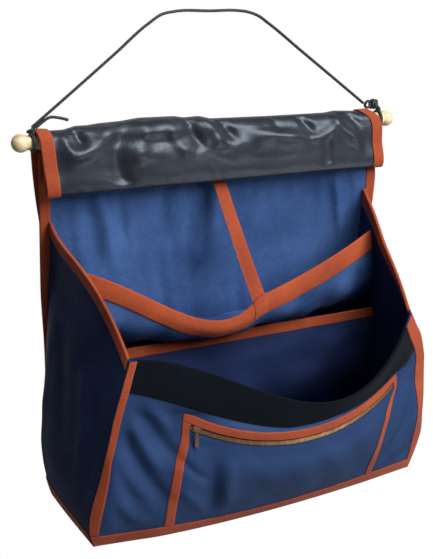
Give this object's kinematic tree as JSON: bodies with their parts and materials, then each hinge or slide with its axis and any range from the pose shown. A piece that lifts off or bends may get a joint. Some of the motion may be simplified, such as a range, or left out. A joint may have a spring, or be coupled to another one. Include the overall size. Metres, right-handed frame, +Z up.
{
  "type": "stable bag",
  "caption": "Hanging cloth stable bag on a wooden dowel and cord, with inner pockets, a front zip pocket and a lid folded up in front of the dowel.",
  "frame": {"origin": "the hanger seat: the underside of the cord where it lies over its rail, above the middle of the dowel", "axes": "+X along the dowel to the right as seen from the front, -Y to the front of the bag, +Z up"},
  "size_m": [0.688, 0.3074, 0.7844],
  "materials": {
    "blue_cloth": "mid-blue twill, matt with a faint sheen",
    "blue_cloth_shaded": "the same blue twill on the shaded walls",
    "grey_lining": "dark grey satin nylon",
    "rust_tape": "rust-orange binding tape, ribbed",
    "dark_strip": "near-black closure pile, matt",
    "black_cord": "black braided cord",
    "pale_wood": "pale turned softwood, unvarnished",
    "zip_tape_brown": "brown woven zip tape",
    "antique_brass": "antique brass, worn"
  },
  "bodies": {
    "bag": {"back_panel": "blue_cloth", "base_panel": "blue_cloth", "binding_back_left": "rust_tape", "binding_back_right": "rust_tape", "binding_base_back": "rust_tape", "binding_base_front": "rust_tape", "binding_base_left": "rust_tape", "binding_base_right": "rust_tape", "binding_front_left": "rust_tape", "binding_front_right": "rust_tape", "binding_mouth_left": "rust_tape", "binding_mouth_right": "rust_tape", "closure_band_front": "dark_strip", "cord_knot_left": "black_cord", "cord_knot_right": "black_cord", "cord_tail_left": "black_cord", "dowel": "pale_wood", "dowel_knob_left": "pale_wood", "dowel_knob_right": "pale_wood", "dowel_sleeve": "blue_cloth", "front_panel": "blue_cloth", "hanger_cord": "black_cord", "lid_over_dowel": "grey_lining", "lid_over_dowel_binding_left": "rust_tape", "lid_over_dowel_binding_right": "rust_tape", "lower_pocket_binding": "rust_tape", "lower_pocket_panel": "blue_cloth_shaded", "pocket_strap": "rust_tape", "pocket_trim_left": "rust_tape", "pocket_trim_right": "rust_tape", "pocket_trim_top": "rust_tape", "side_gusset_left": "blue_cloth_shaded", "side_gusset_right": "blue_cloth_shaded", "upper_pocket_binding": "rust_tape", "upper_pocket_panel": "blue_cloth", "zip_pocket_lining": "grey_lining", "zip_stop_left": "antique_brass", "zip_stop_right": "antique_brass", "zip_tape_lower": "zip_tape_brown", "zip_tape_upper": "zip_tape_brown", "zip_teeth_lower": "antique_brass", "zip_teeth_upper": "antique_brass"},
    "lid_front": {"lid_front_fold": "grey_lining", "lid_front_fold_binding_left": "rust_tape", "lid_front_fold_binding_right": "rust_tape"},
    "lid_back": {"lid_closure_strip": "dark_strip", "lid_end_binding": "rust_tape", "lid_tail": "grey_lining", "lid_tail_binding_left": "rust_tape", "lid_tail_binding_right": "rust_tape"},
    "slider": {"zip_slider": "antique_brass"},
    "pull": {"zip_pull": "antique_brass"}
  },
  "joints": [
    {"name": "lid_front_swing", "type": "hinge", "parent": "bag", "child": "lid_front", "pos_m": [0, -0.022, -0.1841], "axis": [-1, 0, 0], "range_deg": [0, 75]},
    {"name": "lid_tail_swing", "type": "hinge", "parent": "bag", "child": "lid_back", "pos_m": [0, 0.022, -0.1841], "axis": [1, 0, 0], "range_deg": [0, 80]},
    {"name": "zip_slide", "type": "hinge", "parent": "bag", "child": "slider", "pos_m": [0.03, -0.05011, -0.35949], "axis": [0, -0.818, 0.5753], "range_deg": [0, 63.1]},
    {"name": "pull_swing", "type": "hinge", "parent": "slider", "child": "pull", "pos_m": [-0.14938, -0.22242, -0.59511], "axis": [-0.852, 0.3012, 0.4283], "range_deg": [0, 150]}
  ]
}
